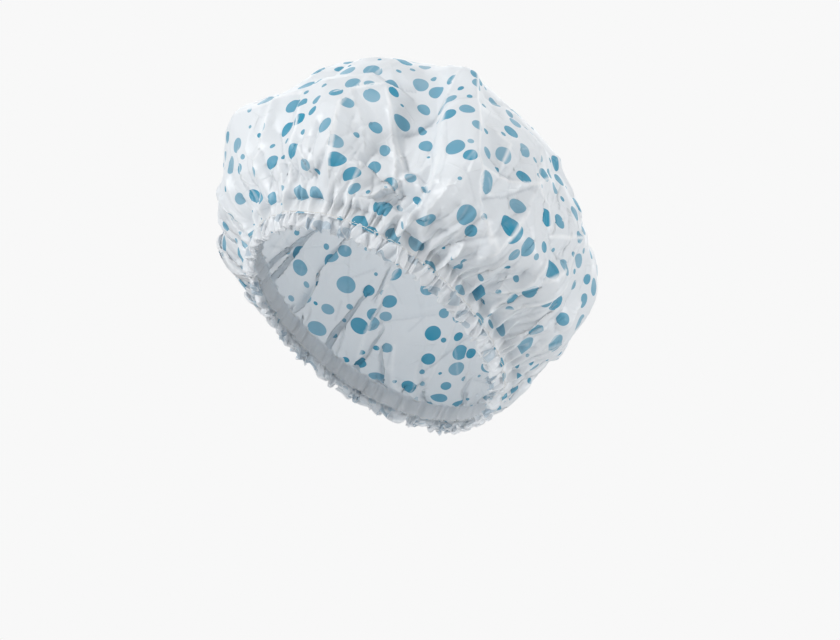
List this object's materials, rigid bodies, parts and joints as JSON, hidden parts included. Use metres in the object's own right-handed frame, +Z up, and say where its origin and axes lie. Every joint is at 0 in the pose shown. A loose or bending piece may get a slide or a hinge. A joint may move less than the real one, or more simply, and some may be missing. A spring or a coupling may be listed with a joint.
{
  "type": "shower cap",
  "caption": "Bouffant shower cap of thin white film with scattered blue dots: a domed crown gathered into an elastic casing with a scalloped frill, to keep hair dry.",
  "frame": {"origin": "centre of the head opening, on the plane of the frill's lower edge", "axes": "+Z up through the crown, -Y towards the front of the cap, +X towards its left side when worn"},
  "size_m": [0.2354, 0.2336, 0.1663],
  "materials": {
    "dotted_film": "glossy, slightly see-through white film printed with blue dots of mixed sizes",
    "plain_film": "the same film seen from its unprinted side",
    "frill_film": "two plies of the film, with the print showing faintly through",
    "elastic": "flat woven white elastic",
    "thread": "white polyester sewing thread"
  },
  "bodies": {
    "root": {"crown_film": "dotted_film", "casing_tape": "plain_film", "frill": "frill_film", "elastic_band": "elastic", "elastic_tack_thread": "thread", "upper_needle_thread": "thread", "upper_bobbin_thread": "thread", "lower_needle_thread": "thread", "lower_bobbin_thread": "thread"}
  },
  "joints": []
}
